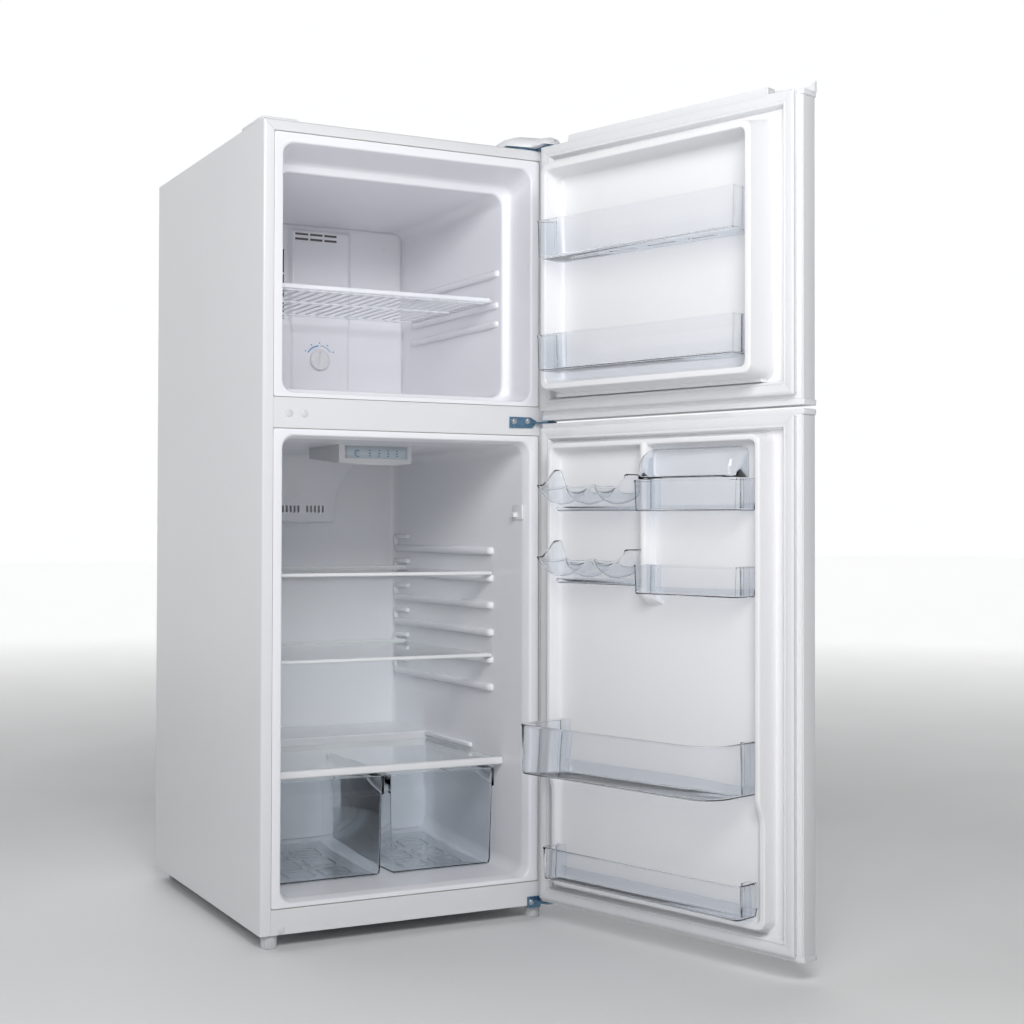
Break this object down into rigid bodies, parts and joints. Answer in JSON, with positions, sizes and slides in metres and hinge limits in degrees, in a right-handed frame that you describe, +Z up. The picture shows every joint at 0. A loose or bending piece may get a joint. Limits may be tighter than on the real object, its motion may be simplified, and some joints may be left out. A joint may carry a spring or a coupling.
{
  "type": "top freezer refrigerator",
  "caption": "Upright refrigerator with a freezer door above a fresh food door, both standing open to show shelves, drawers and door bins.",
  "frame": {"origin": "on the floor, at the middle of the footprint of the whole object with its doors open as at rest", "axes": "+Z up; -Y is the way the cabinet's open front faces; +X is to the right seen from the front, the side with the door hinges"},
  "size_m": [0.7864, 1.2718, 1.539],
  "materials": {
    "painted_steel": "satin white paint",
    "back_steel": "galvanised",
    "white_plastic": "satin",
    "liner_plastic": "thermoformed, glossy",
    "clear_plastic": "clear, glossy",
    "shelf_glass": "polished",
    "gasket_vinyl": "matte",
    "foam": "matte",
    "zinc": "blue zinc plating",
    "aluminium": "plain",
    "black_enamel": "semi-gloss",
    "grey_plastic": "satin",
    "coated_wire": "plastic coated"
  },
  "bodies": {
    "cabinet": {"air_duct_cover": "white_plastic", "base_plate": "back_steel", "bottom_hinge_bracket": "zinc", "cabinet_insulation": "foam", "compressor": "black_enamel", "compressor_rail": "back_steel", "control_housing": "white_plastic", "crisper_cover": "shelf_glass", "crisper_cover_trim": "white_plastic", "door_switch_housing": "white_plastic", "drain_pan": "grey_plastic", "evaporator_coil": "aluminium", "evaporator_cover": "white_plastic", "fan_motor": "black_enamel", "foot_front_left": "white_plastic", "foot_front_right": "white_plastic", "freezer_liner": "liner_plastic", "fridge_liner": "liner_plastic", "kick_rail": "painted_steel", "middle_hinge_bracket": "zinc", "mullion_cover": "painted_steel", "rear_panel": "back_steel", "side_panel_left": "painted_steel", "side_panel_right": "painted_steel", "top_hinge_bracket": "zinc", "top_hinge_cover": "white_plastic", "top_panel": "painted_steel"},
    "freezer_door": {"freezer_bin_lower": "clear_plastic", "freezer_bin_upper": "clear_plastic", "freezer_door_bottom_cap": "white_plastic", "freezer_door_gasket": "gasket_vinyl", "freezer_door_insulation": "foam", "freezer_door_liner": "liner_plastic", "freezer_door_skin": "painted_steel", "freezer_door_top_cap": "white_plastic"},
    "fridge_door": {"fridge_door_bottom_cap": "white_plastic", "fridge_door_gasket": "gasket_vinyl", "fridge_door_insulation": "foam", "fridge_door_liner": "liner_plastic", "fridge_door_skin": "painted_steel", "fridge_door_top_cap": "white_plastic", "egg_rack_upper": "clear_plastic", "egg_rack_lower": "clear_plastic", "dairy_bin": "clear_plastic", "small_bin": "clear_plastic", "large_bin": "clear_plastic", "bottom_bin": "clear_plastic"},
    "wire_shelf": {"wire_shelf": "coated_wire", "wire_shelf_trim": "white_plastic"},
    "glass_shelf_upper": {"glass_shelf_upper": "shelf_glass", "glass_shelf_upper_trim": "white_plastic"},
    "glass_shelf_lower": {"glass_shelf_lower": "shelf_glass", "glass_shelf_lower_trim": "white_plastic"},
    "crisper_left": {"crisper_left": "clear_plastic"},
    "crisper_right": {"crisper_right": "clear_plastic"},
    "dairy_cover": {"dairy_cover": "clear_plastic"},
    "freezer_dial": {"freezer_dial": "white_plastic"},
    "evaporator_fan": {"evaporator_fan": "grey_plastic"},
    "control_button": {"control_button": "grey_plastic"},
    "door_switch_plunger": {"door_switch_plunger": "white_plastic"}
  },
  "joints": [
    {"name": "freezer_door_hinge", "type": "hinge", "parent": "cabinet", "child": "freezer_door", "pos_m": [0.19607, -0.06828, 0.976], "axis": [0, 0, 1], "range_deg": [-107, 18]},
    {"name": "fridge_door_hinge", "type": "hinge", "parent": "cabinet", "child": "fridge_door", "pos_m": [0.19607, -0.06828, 0.976], "axis": [0, 0, 1], "range_deg": [-107, 18]},
    {"name": "dairy_cover_hinge", "type": "hinge", "parent": "fridge_door", "child": "dairy_cover", "pos_m": [0.25049, -0.47201, 0.888], "axis": [-0.2924, 0.9563, 0], "range_deg": [0, 70]},
    {"name": "wire_shelf_slide", "type": "slide", "parent": "cabinet", "child": "wire_shelf", "axis": [0, -1, 0], "range_m": [0, 0.18]},
    {"name": "glass_shelf_upper_slide", "type": "slide", "parent": "cabinet", "child": "glass_shelf_upper", "axis": [0, -1, 0], "range_m": [0, 0.2]},
    {"name": "glass_shelf_lower_slide", "type": "slide", "parent": "cabinet", "child": "glass_shelf_lower", "axis": [0, -1, 0], "range_m": [0, 0.2]},
    {"name": "crisper_left_slide", "type": "slide", "parent": "cabinet", "child": "crisper_left", "axis": [0, -1, 0], "range_m": [0, 0.18]},
    {"name": "crisper_right_slide", "type": "slide", "parent": "cabinet", "child": "crisper_right", "axis": [0, -1, 0], "range_m": [0, 0.18]},
    {"name": "freezer_dial_turn", "type": "hinge", "parent": "cabinet", "child": "freezer_dial", "pos_m": [-0.06223, 0.50492, 1.139], "axis": [0, -1, 0], "range_deg": [-135, 135]},
    {"name": "evaporator_fan_spin", "type": "hinge", "parent": "cabinet", "child": "evaporator_fan", "pos_m": [-0.06023, 0.54392, 1.346], "axis": [0, 1, 0], "continuous": true},
    {"name": "control_button_press", "type": "slide", "parent": "cabinet", "child": "control_button", "axis": [0, 1, 0], "range_m": [0, 0.0015], "stiffness_N_per_m": 400},
    {"name": "door_switch_press", "type": "slide", "parent": "cabinet", "child": "door_switch_plunger", "axis": [1, 0, 0], "range_m": [0, 0.008], "stiffness_N_per_m": 150}
  ]
}
